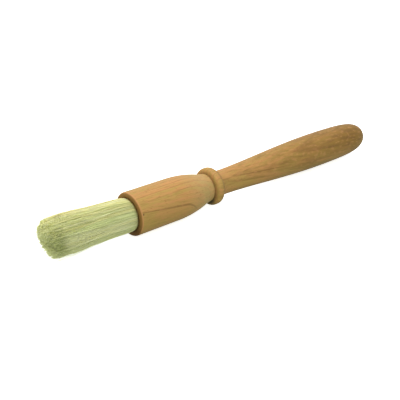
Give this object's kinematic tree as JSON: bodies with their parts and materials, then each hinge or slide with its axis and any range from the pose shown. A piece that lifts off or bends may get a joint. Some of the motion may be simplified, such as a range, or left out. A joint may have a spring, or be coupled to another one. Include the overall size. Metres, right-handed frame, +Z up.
{
  "type": "pastry brush",
  "caption": "Round pastry brush: a turned beech handle with a straight barrel, ogee shoulder, bead and long grip, and a tuft of natural bristles set in a blind bore.",
  "frame": {"origin": "the middle of the brush's box at its lowest point, on the surface that the brush lies on", "axes": "+X along the brush's axis from the bristles towards the butt, +Z up, +Y to the side; the axis runs level at the barrel's radius above the surface"},
  "size_m": [0.238, 0.0234, 0.0234],
  "materials": {
    "beech": "satin",
    "bristle": "satin",
    "thread": "matte",
    "resin": "gloss",
    "glue": "satin"
  },
  "bodies": {
    "root": {"handle": "beech", "bristle_core": "bristle", "bristle_jacket": "bristle", "root_binding": "thread", "root_resin": "resin", "setting_glue": "glue"}
  },
  "joints": []
}
